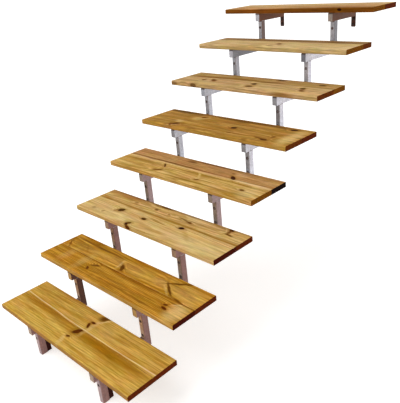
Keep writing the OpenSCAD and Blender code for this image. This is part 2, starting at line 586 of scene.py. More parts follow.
@dataclass(frozen=True)
class GalvanisedSheet:
    """Hot-dip galvanised steel sheet, folded.

    To the eye: a dull grey metal with a faint mosaic of zinc crystals. Its front faces and side faces
    each get their own shade, as painted light and painted shade; the lower brackets are mauve brown,
    partly dried oil and dust and partly painted reflection of the brown treads; and painted shade lies
    inside the channel, under the tread or the arm, and round the holes.
    """

    name: str
    low: Vector  # corner of the bracket's box, in metres
    high: Vector
    across: str  # colour of the faces across the flight: painted light and shade
    along: str  # colour of the faces along the flight: painted light and shade
    hollow_shade: str  # colour of the painted shade inside the channel and on a plate at its rear
    shaded_top: float  # how far down the painted shadow under the tread or the arm reaches
    run: Vector  # the way the sheet was rolled
    holes: tuple[float, ...] = ()  # depths of the adjusting holes
    # colour of the painted shadow under the tread or arm, and of the painted shade round the holes
    shade_tone: str = "#3A261C"
    most_shade: float = 0.85
    inner: float = 12.2  # half the width of the hollow
    skin: float = 0.6  # how far behind the front face the inside starts
    deep: float = 40.0  # how far behind the front face a rear plate is
    ring: float = 8.0  # radius of the painted shade round a hole
    hole_blur: float = 1.0  # half the width of the painted shade's edge there
    top_blur: float = 1.5  # and at the top
    sideways: tuple[float, float] = (0.3, 0.85)  # how far a face has to look along the treads
    spangle: float = 9.0
    cloud: float = 70.0
    rolling: float = 6.0  # width of the lines left by the rollers
    drawn: float = 300.0  # and their length
    metallic: float = 0.55
    roughness: float = 0.5

    # The lightness of the darkest and the palest crystals, clouds and rolled lines.
    CRYSTALS, CLOUDS, LINES = (0.85, 1.15), (0.86, 1.12), (0.93, 1.07)
    GLOSS = (-0.05, 0.08)  # how far the crystals differ from the roughness

    def _hollow(self, add: AddNode, place: Node, facing: Node) -> Node:
        """Adds a node that gives 1 where shade is painted: inside the channel and on a plate at its rear.

        Args:
            add: Adds a node.
            place: The position, split into X, Y and Z.
            facing: The way each face looks, split into X, Y and Z.

        Returns:
            That node.
        """
        middle = (self.low.x + self.high.x) / 2
        offset = add("Math SUBTRACT", place.outputs["X"], middle)
        sideways = add("Math ABSOLUTE", offset)
        between = add("Math LESS_THAN", sideways, self.inner * MM)
        starts = (self.low.y + self.skin * MM, self.low.y + self.deep * MM)
        behind, far = (add("Math GREATER_THAN", place.outputs["Y"], y) for y in starts)
        inside = add("Math MULTIPLY", between, behind)
        lengthways = add("Math ABSOLUTE", facing.outputs["Y"])
        plate = add("Math MULTIPLY", far, lengthways)
        return add("Math MAXIMUM", inside, plate)

    def _painted_shade(self, add: AddNode, source: Node, place: Node) -> Node:
        """Adds the share of painted shade: a painted shadow along the top of the front, and round the
        adjusting holes.

        Args:
            add: Adds a node.
            source: The coordinates.
            place: The position, split into X, Y and Z.

        Returns:
            The node that gives it.
        """
        front = add("Math LESS_THAN", place.outputs["Y"], self.low.y + self.skin * MM)
        level = self.high.z - self.shaded_top * MM
        rim = (level - self.top_blur * MM, level + self.top_blur * MM)
        share = add("MapRange", place.outputs["Z"], *rim, To_Max=self.most_shade)
        for depth in self.holes:
            centre = Vector(((self.low.x + self.high.x) / 2, self.low.y, self.high.z - depth * MM))
            distance = add("VectorMath DISTANCE", source.outputs["Object"], centre)
            rim = ((self.ring - self.hole_blur) * MM, (self.ring + self.hole_blur) * MM)
            ring = add("MapRange", distance, *rim, self.most_shade, 0.0)
            share = add("Math MAXIMUM", share, ring)
        return add("Math MULTIPLY", front, share)

    def material(self) -> Material:
        """Builds the material.

        Returns:
            The finished material.
        """
        material, add = new_material(self.name)
        source = add("TexCoord")
        everywhere = source.outputs["Object"]
        place, facing = (add("SeparateXYZ", source.outputs[name]) for name in ("Object", "Normal"))
        # Front faces and side faces get their own shades: painted light and painted shade.
        sideways = add("Math ABSOLUTE", facing.outputs["X"])
        share = add("MapRange", sideways, *self.sideways)
        colour = add("Mix", share, linear(self.across), linear(self.along), data_type="RGBA")
        # Painted shade inside the channel and on a rear plate, and painted shadow under the tread or arm and
        # round the holes.
        hollow_shade, shade_share = self._hollow(add, place, facing), self._painted_shade(add, source, place)
        colour = add("Mix", hollow_shade, colour, linear(self.hollow_shade), data_type="RGBA")
        colour = add("Mix", shade_share, colour, linear(self.shade_tone), data_type="RGBA")
        crystal = add("TexVoronoi", everywhere, Scale=1 / (self.spangle * MM))
        tint = add("SeparateColor", crystal.outputs["Color"]).outputs["Red"]
        cloud = add("TexNoise", everywhere, Scale=1 / (self.cloud * MM), Detail=4.0, Roughness=0.6)
        sizes = (Vector((1, 1, 1)) * self.rolling + self.run * (self.drawn - self.rolling)) * MM
        rolled = drawn_out(add, everywhere, (0, 0, 0), sizes, 2)
        level = add("MapRange", tint, 0.0, 1.0, *self.CRYSTALS)
        for noise, span in ((cloud, self.CLOUDS), (rolled, self.LINES)):
            lightness = add("MapRange", noise, *MIDDLE, *span)
            level = add("Math MULTIPLY", level, lightness)
        shade = add("VectorMath SCALE", colour, level)
        glossy, dull = (self.roughness + change for change in self.GLOSS)
        gloss = add("MapRange", tint, To_Min=glossy, To_Max=dull)
        shader = add("BsdfPrincipled", Metallic=self.metallic, Base_Color=shade, Roughness=gloss)
        add("OutputMaterial", shader)
        return material


@dataclass(frozen=True)
class PlainFinish:
    """A finish with one colour and a faint unevenness, such as plating or a brushed-on coat."""

    name: str
    colour: str
    metallic: float
    roughness: float
    unevenness: float = 0.08
    grain: float = 6.0
    specular: float = 0.5

    def material(self) -> Material:
        """Builds the material.

        Returns:
            The finished material.
        """
        material, add = new_material(self.name)
        source = add("TexCoord")
        noise = add("TexNoise", source.outputs["Object"], Scale=1 / (self.grain * MM), Detail=3.0)
        level = add("MapRange", noise, *MIDDLE, 1 - self.unevenness, 1 + self.unevenness)
        shade = add("VectorMath SCALE", linear(self.colour)[:3], level)
        look = {"Metallic": self.metallic, "Roughness": self.roughness}
        shader = add("BsdfPrincipled", shade, Specular_IOR_Level=self.specular, **look)
        add("OutputMaterial", shader)
        return material


# ------------------------------------------------------------------------------- sub-assemblies


@dataclass
class Treads:
    """The eight treads, each with its own boards, knots and stains."""

    seed: float = 7.0  # times the step's number, so that no two treads are alike

    def finish(self, step: int) -> OiledPine:
        """Works out one tread's finish.

        Args:
            step: The tread's number, from the ground.

        Returns:
            Its oiled pine.
        """
        low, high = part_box(f"tread_{step}")
        return OiledPine(
            name=f"oiled pine, planed, tread {step}",
            corner=Vector((low.x, low.y, high.z)),
            length=(high.x - low.x) / MM,
            seed=self.seed * step,
            marks=TREAD_MARKS[step],
            **TREAD_WOOD[step],
        )

    def dress(self) -> None:
        """Gives every tread its material."""
        for step in STEPS:
            node = bpy.data.objects[f"tread_{step}"]
            dress(node, self.finish(step).material())
            LOG.info("%s: oiled pine", node.name)


# What is each tread's own, by its number from the ground.
TREAD_WOOD: dict[int, dict[str, Any]] = {
    1: {
        "front": Board(Pine.HONEY, EndGrain.CHESTNUT, 9, 150, contrast=0.65, streaks=0.24),
        "rear": Board(Pine.HONEY, EndGrain.CHESTNUT, 8, 330, contrast=0.65, streaks=0.24),
        "joint_and_groove_shading": JointAndGrooveShading("#EAC98A", 0.9, back=152, width=5, slope=-0.006, bow=10),
        "split": 138.0, "front_tone": "#A8783E", "front_strength": 0.85,
    },
    2: {
        "front": Board(Pine.AMBER, EndGrain.MAHOGANY, 8, -160),
        "rear": Board(Pine.GOLD, EndGrain.CHESTNUT, 11, 190),
        "joint_and_groove_shading": JointAndGrooveShading("#865208", 0.75, back=128, width=7, slope=-0.004),
        "split": 128.0, "front_tone": "#CCA45E", "front_strength": 0.5,
    },
    3: {
        "front": Board(Pine.BLOND, EndGrain.MAHOGANY, 10, 40, contrast=0.7, bands=0.6, streaks=0.2),
        "rear": Board(Pine.BLOND, EndGrain.CHESTNUT, 9, 230),
        "joint_and_groove_shading": JointAndGrooveShading("#94681E", 0.75, back=161, width=12, slope=-0.008),
        "split": 148.0,
    },
    4: {
        "front": Board(Pine.WHEAT, EndGrain.COPPER, 10, 30),
        "rear": Board(Pine.FAWN, EndGrain.SOOT, 8, 330),
        "joint_and_groove_shading": JointAndGrooveShading("#E6C084", 0.75, back=143, width=9),
        "split": 149.0,
    },
    5: {
        "front": Board(Pine.TAN, EndGrain.RUSSET, 10, 70),
        "rear": Board(Pine.TAN, EndGrain.CHESTNUT, 9, 210),
        "joint_and_groove_shading": JointAndGrooveShading("#9A7030", 0.3),
        "front_tone": "#C09444", "front_strength": 0.5,
    },
    6: {
        "front": Board(Pine.SAND, EndGrain.RUSSET, 11, 50),
        "rear": Board(Pine.DUN, EndGrain.COPPER, 10, 240),
        "joint_and_groove_shading": JointAndGrooveShading("#8A6424", 0.3, back=166, width=14),
        "split": 150.0,
    },
    7: {
        "front": Board(Pine.CREAM, EndGrain.COPPER, 11, 50),
        "rear": Board(Pine.DRAB, EndGrain.RUSSET, 10, 240),
        "joint_and_groove_shading": JointAndGrooveShading("#B08C58", 0.3),
        "split": 175.0,
    },
    8: {
        "front": Board(Pine.FAWN, EndGrain.COPPER, 10, 50),
        "rear": Board(Pine.SAND, EndGrain.CHESTNUT, 9, 240),
        "joint_and_groove_shading": JointAndGrooveShading("#A67C44", 0.4),
        "front_tone": "#7E440A", "front_strength": 0.95,
    },
}

# Each mark's place along and back, length, width, tilt, strength and shade.
knot, soft_knot, stain, pale = (partial(Mark, kind) for kind in Kind)
# The long stains along each tread's rear edge, 220 to 255 back, darken the strip under the front of the tread
# above.
TREAD_MARKS: dict[int, tuple[Mark, ...]] = {
    1: (
        stain(260, 133, 440, 6, -1.5, 0.6), stain(760, 134, 460, 5, 0.5, 0.6),
        stain(130, 205, 320, 36, -4, 0.4, Shade.STRAW), pale(610, 190, 120, 70, 0, 0.35, Shade.BUFF),
        stain(750, 108, 560, 46, 0, 0.9, Shade.RESIN), stain(660, 106, 340, 34, 0, 0.4, Shade.RESIN),
        stain(220, 118, 500, 30, -1, 0.75, Shade.RESIN), stain(240, 252, 480, 18, 0, 0.5, Shade.COPPER),
        pale(532, 160, 26, 110, 0, 0.5), pale(493, 30, 20, 80, 20, 0.5),
        stain(537, 246, 62, 34, 20, 1.0, Shade.NUT), pale(556, 234, 100, 9, 42), knot(512, 195, 24, 13, 8),
        knot(509, 170, 32, 15, 116), knot(504, 114, 50, 24, 42), knot(500, 70, 20, 14, 10, 0.9),
    ),
    2: (
        stain(215, 224, 440, 13, -1, 1.0, Shade.NUTMEG), stain(160, 246, 190, 30, 0, 0.75, Shade.RESIN),
        stain(600, 252, 800, 24, 0, 0.55, Shade.RESIN), stain(150, 180, 230, 60, 0, 0.6, Shade.STRAW),
        pale(480, 185, 520, 60, 0, 0.25, Shade.BUFF), stain(60, 76, 130, 9, 0, 0.6, Shade.COPPER),
        stain(60, 92, 130, 8, 0, 0.5, Shade.COPPER), stain(150, 40, 300, 10, 0, 0.5, Shade.RESIN),
        stain(700, 34, 420, 12, -1, 0.9), stain(620, 62, 420, 4, -1, 0.6, Shade.NUTMEG),
        stain(560, 84, 380, 3, -1, 0.5, Shade.NUTMEG), stain(580, 120, 580, 12, -0.5, 0.6),
        pale(132, 90, 50, 120, 0, 0.2), pale(262, 90, 50, 120, 0, 0.25), pale(952, 66, 84, 118, 0, 0.75),
        pale(905, 190, 190, 84, 0, 0.4, Shade.BUFF), pale(735, 190, 90, 50, 0, 0.4, Shade.BUFF),
        pale(790, 160, 80, 12, -40, 0.6, Shade.BUFF), soft_knot(813, 228, 128, 10, 31),
        stain(836, 244, 100, 16, 30, 0.8, Shade.NUTMEG), soft_knot(803, 171, 108, 12, -38),
        soft_knot(40, 165, 62, 12, -50, 0.85, Shade.NUTMEG), stain(172, 178, 90, 10, -44, 0.35),
        stain(190, 240, 60, 40, 45, 0.6), pale(447, 178, 16, 60, 15, 0.6),
        knot(478, 162, 54, 20, -45, 1.0, Shade.NUT), knot(350, 95, 48, 14, 25, 0.9, Shade.NUT),
        knot(334, 62, 24, 13, -35, 0.9), soft_knot(900, 128, 80, 14, -10, 1.0, Shade.NUTMEG),
        knot(876, 82, 20, 10, 20), knot(886, 61, 32, 14, -10), pale(920, 108, 50, 9, 30, 0.7),
    ),
    3: (
        stain(125, 240, 270, 40, 0, 0.7, Shade.COPPER), stain(500, 254, 1000, 18, 0, 0.65, Shade.TOBACCO),
        stain(60, 170, 100, 20, -10, 0.6, Shade.COPPER), pale(230, 50, 330, 70, 0, 0.35, Shade.CREAM),
        pale(850, 50, 300, 80, 0, 0.45, Shade.CREAM), stain(520, 118, 120, 14, -6, 0.8, Shade.OLIVE),
        stain(740, 92, 120, 22, -35, 0.35, Shade.STRAW), knot(262, 103, 46, 32, 35, 1.0, Shade.WALNUT),
        soft_knot(232, 84, 26, 12, 40, 0.5), knot(441, 98, 32, 18, 0, 1.0, Shade.WALNUT),
        knot(675, 133, 30, 20, 10, 1.0, Shade.PITCH), knot(411, 26, 24, 20, 0, 1.0, Shade.UMBER),
        knot(417, 6, 50, 16, -40, 1.0, Shade.BARK), knot(434, -10, 34, 22),
        stain(530, 2, 150, 10, 0, 0.7, Shade.OLIVE), knot(892, 250, 28, 24, 0, 1.0, Shade.BARK),
        soft_knot(905, 208, 50, 12, -8), soft_knot(890, 228, 14, 38, 0, 0.8), soft_knot(670, 198, 26, 15),
        soft_knot(628, 205, 80, 8, -8, 0.7), soft_knot(420, 208, 24, 15, 0, 0.85),
        soft_knot(258, 208, 24, 14, 0, 0.35), soft_knot(510, 206, 20, 10, -30, 0.4),
        soft_knot(105, 42, 22, 16, 0, 0.4), soft_knot(187, 42, 22, 18, 0, 0.45),
        knot(450, 251, 70, 16, 0, 0.8, Shade.UMBER),
    ),
    4: (
        stain(150, 112, 280, 26, 0, 0.85, Shade.OLIVE), stain(560, 114, 380, 20, 0, 0.65, Shade.OLIVE),
        stain(860, 124, 260, 12, 0, 0.8, Shade.OLIVE), stain(500, 160, 1000, 9, 0, 0.5, Shade.NUTMEG),
        stain(300, 161, 640, 10, 0, 0.85, Shade.NUT), pale(890, 150, 230, 16, 0, 0.8, Shade.CREAM),
        stain(690, 24, 560, 12, 0, 0.75, Shade.OLIVE), stain(880, 0, 100, 18, 0, 0.7),
        stain(160, 20, 300, 20, 0, 0.35, Shade.STRAW), stain(420, 232, 60, 28, 0, 0.75, Shade.TOBACCO),
        stain(600, 249, 440, 15, 0, 0.8, Shade.TOBACCO), pale(590, 105, 70, 12, -50, 0.6),
        pale(775, 215, 80, 50, 0, 0.4, Shade.PEACH), pale(930, 70, 90, 110, 0, 0.35, Shade.CREAM),
        pale(345, 100, 90, 8, -50, 0.4), knot(757, 164, 52, 22, -45, 1.0, Shade.BARK),
        soft_knot(726, 212, 24, 14, 0, 0.5), soft_knot(328, 116, 52, 11, -50, 1.0, Shade.UMBER),
        stain(326, 30, 90, 26, 45, 0.5, Shade.OLIVE), soft_knot(342, 52, 52, 16, 25, 0.9),
        soft_knot(618, 57, 28, 15, 30, 0.9), soft_knot(892, 74, 26, 16),
    ),
    5: (
        stain(140, 240, 300, 40, 0, 0.85, Shade.UMBER), stain(590, 240, 540, 34, 0, 0.85, Shade.NUT),
        stain(520, 196, 260, 22, 0, 0.35, Shade.COPPER), stain(700, 180, 500, 14, 0, 0.4, Shade.NUTMEG),
        stain(180, 175, 260, 14, 0, 0.4), stain(600, 46, 260, 14, 0, 0.6),
        stain(460, 56, 200, 20, 0, 0.4, Shade.RESIN), pale(285, 165, 70, 50, 0, 0.5),
        pale(330, 180, 60, 12, 35, 0.5), pale(950, 120, 72, 200, 0, 0.7), pale(225, 82, 60, 34, -20, 0.55),
        pale(240, 8, 80, 12, 20, 0.5), knot(243, 36, 60, 30, 30, 1.0, Shade.UMBER),
        knot(220, 16, 44, 15, -50, 0.8, Shade.NUT), knot(595, 121, 40, 26, 20, 1.0, Shade.PITCH),
        knot(847, 36, 38, 24, 0, 1.0, Shade.BARK), soft_knot(820, 45, 70, 12, -10),
        knot(893, 226, 38, 24, 10, 1.0, Shade.BARK), knot(312, 198, 28, 22, 20, 0.8, Shade.NUT),
        soft_knot(622, 44, 36, 12, 0, 0.7), soft_knot(866, 88, 18, 40, 0, 0.6),
        soft_knot(755, 2, 30, 16, 0, 0.4),
    ),
    6: (
        pale(830, 30, 340, 60, 0, 0.4), pale(220, 20, 360, 40, 0, 0.35),
        stain(170, 164, 290, 32, 4, 0.9, Shade.NUTMEG), stain(440, 180, 300, 28, -2, 0.8, Shade.NUTMEG),
        stain(620, 170, 130, 26, 12, 0.85, Shade.TOBACCO), stain(820, 186, 260, 14, 0, 0.35, Shade.DUN),
        stain(500, 250, 1000, 22, 0, 0.4, Shade.DUN), pale(210, 138, 50, 18, 20, 0.6),
        pale(512, 136, 44, 20, -40, 0.6), pale(815, 140, 34, 34, -40, 0.5), pale(870, 34, 60, 26, 20, 0.6),
        knot(542, 108, 36, 28, -30, 1.0, Shade.BARK), knot(546, 54, 42, 28, 0, 1.0, Shade.WALNUT),
        knot(854, 108, 30, 28, 0, 1.0, Shade.WALNUT), soft_knot(866, 68, 36, 22, -30),
        soft_knot(250, 104, 60, 28, -45), soft_knot(183, 92, 30, 26),
        knot(902, 206, 40, 24, 0, 1.0, Shade.WALNUT), knot(626, 240, 44, 26, 0, 1.0, Shade.WALNUT),
        knot(180, -13, 46, 20, 0, 0.75, Shade.WALNUT), knot(22, -13, 50, 20, 0, 0.55, Shade.UMBER),
        stain(790, -13, 130, 20, 0, 0.7),
    ),
    7: (
        stain(330, 215, 260, 34, 0, 0.6, Shade.TOBACCO), stain(500, 222, 1100, 46, 0, 0.65, Shade.DUN),
        stain(840, 200, 260, 30, 0, 0.6, Shade.TOBACCO), stain(350, 30, 200, 50, 0, 0.25, Shade.STRAW),
        pale(150, 50, 160, 40, 0, 0.25, Shade.PEACH), pale(860, 30, 260, 50, 0, 0.35, Shade.CREAM),
        knot(527, 102, 38, 28, -45, 1.0, Shade.TOBACCO), soft_knot(500, 50, 40, 26, 0, 0.5),
    ),
    8: (stain(740, 4, 640, 70, 0, 0.75, Shade.NUT), knot(806, -13, 28, 15, 0, 1.0, Shade.PITCH)),
}


class Zinc(Enum):
    """The shades of the galvanised steel, from pale zinc to mauve brown.

    They paint light, shade and reflection, and are partly dried oil and dust.
    """

    BRIGHT = "#DCDCE6"
    CLEAN = "#C8CAD4"
    SILVER = "#B0B0B8"
    DULL = "#A0A4AE"
    GREY = "#8A8A90"
    SLATE = "#74747C"
    ROSE = "#A68E8E"
    GREIGE = "#94867C"
    MAUVE = "#8E6A64"
    TAUPE = "#74605A"
    TAN = "#A08670"
    OCHRE = "#BE9A62"
    SAND = "#C6A68C"
    UMBER = "#5A3628"
    RUST = "#643A20"


@dataclass(frozen=True)
class BracketTone:
    """The shades of one bracket's faces.

    They paint light, shade and reflection, and are partly dried oil and dust.
    """

    nose: Zinc
    arm: Zinc
    web: Zinc
    post: Zinc
    hollow_shade: Zinc = Zinc.TAUPE


# Painted light, shade and reflection, partly dried oil and dust: each side face gets its own shade apart from
# its front for how the light falls, the lower brackets are mauve brown for the brown treads they reflect, and
# the upper ones pale where the light falls.
BRACKET_TONES: dict[int, tuple[BracketTone, BracketTone]] = {
    1: (BracketTone(Zinc.TAN, Zinc.MAUVE, Zinc.ROSE, Zinc.MAUVE),) * 2,
    2: (
        BracketTone(Zinc.OCHRE, Zinc.UMBER, Zinc.SAND, Zinc.UMBER),
        BracketTone(Zinc.OCHRE, Zinc.MAUVE, Zinc.SAND, Zinc.MAUVE),
    ),
    3: (
        BracketTone(Zinc.TAN, Zinc.MAUVE, Zinc.TAN, Zinc.MAUVE),
        BracketTone(Zinc.TAN, Zinc.MAUVE, Zinc.GREIGE, Zinc.MAUVE),
    ),
    4: (BracketTone(Zinc.GREIGE, Zinc.ROSE, Zinc.GREIGE, Zinc.ROSE),) * 2,
    5: (
        BracketTone(Zinc.GREY, Zinc.CLEAN, Zinc.DULL, Zinc.CLEAN),
        BracketTone(Zinc.GREY, Zinc.BRIGHT, Zinc.DULL, Zinc.BRIGHT),
    ),
    6: (
        BracketTone(Zinc.DULL, Zinc.CLEAN, Zinc.DULL, Zinc.CLEAN),
        BracketTone(Zinc.GREY, Zinc.BRIGHT, Zinc.GREY, Zinc.BRIGHT),
    ),
    7: (
        BracketTone(Zinc.SILVER, Zinc.GREY, Zinc.DULL, Zinc.SILVER),
        BracketTone(Zinc.SLATE, Zinc.BRIGHT, Zinc.SILVER, Zinc.BRIGHT),
    ),
    8: (
        BracketTone(Zinc.SILVER, Zinc.RUST, Zinc.SILVER, Zinc.TAUPE, Zinc.UMBER),
        BracketTone(Zinc.GREIGE, Zinc.RUST, Zinc.SILVER, Zinc.GREY, Zinc.UMBER),
    ),
}


@dataclass
class Brackets:
    """The folded arms and posts of both chains."""

    holes: tuple[float, float] = (38.0, 113.0)  # depths of a post's adjusting holes
    clear: float = 1.2  # how many times a hole's depth a post has to be long to have it
    arm_shade: float = 7.0  # how far down an arm's nose the painted shadow under the tread reaches
    post_shade: float = 5.0  # and down a post's front, the painted shadow under its arm

    def finish(self, part: str, name: str, tone: BracketTone) -> GalvanisedSheet:
        """Works out a bracket's finish.

        An arm gets a painted shadow where its nose meets the tread, and a post a painted shadow under its
        arm and painted shade round its adjusting holes.

        Args:
            part: Whether it is an arm or a post.
            name: Its CAD node.
            tone: The shades of its faces, which paint light, shade and reflection.

        Returns:
            Its galvanised sheet.
        """
        low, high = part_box(name)
        look = {"across": tone.nose, "along": tone.arm, "hollow_shade": tone.hollow_shade}
        own = {"shaded_top": self.arm_shade, "run": Vector((0, 1, 0))}
        if part == "post":
            look |= {"across": tone.web, "along": tone.post}
            holes = tuple(depth for depth in self.holes if high.z - low.z > self.clear * depth * MM)
            own = {"shaded_top": self.post_shade, "run": Vector((0, 0, 1)), "holes": holes}
        look = {face: shade.value for face, shade in look.items()}
        title = f"galvanised sheet, folded, {name.replace('_', ' ')}"
        return GalvanisedSheet(title, low, high, **look, **own)

    def dress(self) -> None:
        """Gives every arm and post its material."""
        for step in STEPS:
            for side, tone in zip(Side, BRACKET_TONES[step]):
                for part in ("arm", "post"):
                    node = bpy.data.objects[f"{part}_{side.value}_{step}"]
                    dress(node, self.finish(part, node.name, tone).material())
                    LOG.info("%s: galvanised sheet", node.name)


@dataclass
class Feet:
    """The two feet under the first posts.

    Their near-black coat is partly bitumen and partly painted shade, for the deep shade behind the
    posts.
    """

    # near-black: partly a bitumen coat, partly painted shade behind the first posts
    finish: PlainFinish = PlainFinish("red primer under bitumen, brushed", "#340E0A", 0.0, 0.6, specular=0.08)

    def dress(self) -> None:
        """Gives both feet their material."""
        material = self.finish.material()
        for side in Side:
            node = bpy.data.objects[f"foot_{side.value}"]
            dress(node, material)
            LOG.info("%s: brushed coat", node.name)


class Workpiece:
    """A new piece while it is being made: one bmesh, in metres, in its final place."""

    def __init__(self, name: str, node: str) -> None:
        """Starts an empty piece of that name on a CAD node."""
        self.name, self.mesh = name, bmesh.new()
        self.low, self.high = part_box(node)
        self.middle = (self.low.x + self.high.x) / 2

    def turned(self, outline: Outline, base: Vector, axis: Vector, segments: int) -> None:
        """Turns a round solid from its outline.

        Args:
            outline: Its outline, with both ends on the axis.
            base: Where height 0 is, in metres.
            axis: The unit vector of the axis.
            segments: How many sides it gets.
        """
        turn = Vector((0, 0, 1)).rotation_difference(axis).to_matrix()
        corners = [base + turn @ Vector((radius, 0, height)) * MM for height, radius in outline]
        points = [self.mesh.verts.new(corner) for corner in corners]
        edges = [self.mesh.edges.new(pair) for pair in zip(points, points[1:])]
        full = {"cent": base, "axis": axis, "angle": 2 * math.pi, "steps": segments}
        bmesh.ops.spin(self.mesh, geom=points + edges, use_merge=True, **full)

    def hexagon(self, flats: float, height: float, chamfer: float, base: Vector, axis: Vector) -> None:
        """Adds a hexagon with its outer rim chamfered.

        Args:
            flats: Width across the flats.
            height: Its height along the axis.
            chamfer: Size of the chamfer on the far face.
            base: The middle of its near face, in metres.
            axis: The unit vector from the near face to the far one.
        """
        turn = Vector((0, 0, 1)).rotation_difference(axis).to_matrix().to_4x4()
        place = Matrix.Translation(base + axis * height / 2 * MM) @ turn
        radius = flats / math.sqrt(3) * MM
        size = {"radius1": radius, "radius2": radius, "depth": height * MM, "matrix": place}
        made = bmesh.ops.create_cone(self.mesh, cap_ends=True, segments=6, **size)
        top = (base + axis * height * MM).dot(axis)
        edges = dict.fromkeys(edge for vert in made["verts"] for edge in vert.link_edges)
        rim = [e for e in edges if all(abs(v.co.dot(axis) - top) < TOUCHING for v in e.verts)]
        cut = {"offset": chamfer * MM, "offset_type": "OFFSET", "segments": 1, "profile": 0.5}
        bmesh.ops.bevel(self.mesh, geom=rim, affect="EDGES", material=-1, **cut)

    def finished(self, material: Material, smooth: bool) -> Object:
        """Closes the piece and puts it on the CAD part.

        Args:
            material: Its finish.
            smooth: Whether its faces shade smoothly.

        Returns:
            The new object.
        """
        bmesh.ops.remove_doubles(self.mesh, verts=self.mesh.verts, dist=TOUCHING)
        bmesh.ops.recalc_face_normals(self.mesh, faces=self.mesh.faces)
        for face in self.mesh.faces:
            face.smooth = smooth
        obj = meshed(self.name, self.mesh)
        dress(obj, material)
        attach(obj, BODY)
        LOG.info("%s: %d faces", self.name, len(obj.data.polygons))
        return obj


@dataclass
class Fixings:
    """A set of fixings, one piece to a bracket."""

    name: ClassVar[str]  # of a piece, with its side and step
    part: ClassVar[str] = "arm"  # the CAD part that they belong to
    steps: ClassVar[range] = STEPS
    smooth: ClassVar[bool] = False

    finish: PlainFinish
    sheet: float = 3.0

    def make(self, piece: Workpiece) -> None:
        """Shapes one piece."""
        raise NotImplementedError

    def build(self) -> None:
        """Makes every piece."""
        material = self.finish.material()
        for side in Side:
            for step in self.steps:
                name = self.name.format(side=side.value, step=step)
                piece = Workpiece(name, f"{self.part}_{side.value}_{step}")
                self.make(piece)
                piece.finished(material, self.smooth)


def rod(start: float, end: float, radius: float) -> Outline:
    """Works out the outline of a plain rod."""
    return [(start, 0.0), (start, radius), (end, radius), (end, 0.0)]


@dataclass
class Bolts(Fixings):
    """M10 bolts with their washers."""

    flats: float = 16.0
    head: float = 6.4
    chamfer: float = 0.9
    washer: float = 1.6
    washer_radius: float = 9.0
    washer_edge: float = 0.25
    washer_sides: int = 32
    radius: float = 4.9
    sides: int = 24  # of the shank

    def washer_outline(self, start: float) -> Outline:
        """Works out a washer's outline, from its near face."""
        end, rim, edge = start + self.washer, self.washer_radius, self.washer_edge
        sides = [(start, rim - edge), (start + edge, rim), (end - edge, rim), (end, rim - edge)]
        return [(start, 0.0), *sides, (end, 0.0)]


@dataclass
class JointBolts(Bolts):
    """The bolts that join each arm's rear plate to the next post, two to a joint."""

    name: ClassVar[str] = "bolts_{side}_{step}"
    steps: ClassVar[range] = STEPS[:-1]

    finish: PlainFinish = PlainFinish("zinc-plated steel, cold-headed", "#B4B2B0", 1.0, 0.38)
    heights: tuple[float, float] = (35.0, 13.0)  # over the plate's lower edge
    nut: float = 8.4
    pitch: float = 1.5
    ridges: int = 10  # how many turns of thread show
    depth: float = 0.8  # of the thread
    length: float = 25.0

    def _shank(self) -> Outline:
        """Works out the shank's outline.

        Returns:
            Heights from under the head and radii, with the threads as ridges.
        """
        root = self.radius - self.depth
        plain = self.length - self.ridges * self.pitch
        outline = rod(-0.5 * self.head, plain, self.radius)[:-1]
        for ridge in range(self.ridges):
            start = plain + ridge * self.pitch
            outline += [(start + 0.5 * self.pitch, root), (start + self.pitch, self.radius)]
        tip = self.length + self.depth
        return [*outline, (tip, root), (tip, 0.0)]

    def make(self, piece: Workpiece) -> None:
        """Makes the bolts of one joint.

        Args:
            piece: The piece that gets them.
        """
        back = Vector((0, 1, 0))
        for height in self.heights:
            middle = Vector((piece.middle, piece.high.y, piece.low.z + height * MM))
            front = middle - back * (self.sheet + self.washer) * MM
            rear = middle + back * (self.sheet + self.washer) * MM
            piece.hexagon(self.flats, self.head, self.chamfer, front, -back)
            piece.hexagon(self.flats, self.nut, self.chamfer, rear, back)
            piece.turned(self.washer_outline(0.0), front, back, self.washer_sides)
            piece.turned(self.washer_outline(-self.washer), rear, back, self.washer_sides)
            piece.turned(self._shank(), front, back, self.sides)


@dataclass
class WallBolts(Bolts):
    """The bolts through the plates at the wall, two to a plate, shown down to the wall."""

    name: ClassVar[str] = "wall_bolts_{side}"
    steps: ClassVar[range] = STEPS[-1:]

    # Near-black: partly blackened steel, partly painted shade on the plates at the wall under the top tread.
    finish: PlainFinish = PlainFinish("steel, cold-headed, blackened", "#3C2A24", 0.3, 0.6)
    heights: tuple[float, float] = (44.0, 14.0)  # over the plate's lower edge

    def make(self, piece: Workpiece) -> None:
        """Makes the bolts of one plate.

        Args:
            piece: The piece that gets them.
        """
        out = Vector((0, -1, 0))
        for height in self.heights:
            face = piece.high.y - self.sheet * MM
            front = Vector((piece.middle, face, piece.low.z + height * MM))
            piece.turned(self.washer_outline(0.0), front, out, self.washer_sides)
            piece.turned(rod(-self.sheet, 0.5 * self.washer, self.radius), front, out, self.sides)
            under = front + out * 0.9 * self.washer * MM
            piece.hexagon(self.flats, self.head, self.chamfer, under, out)


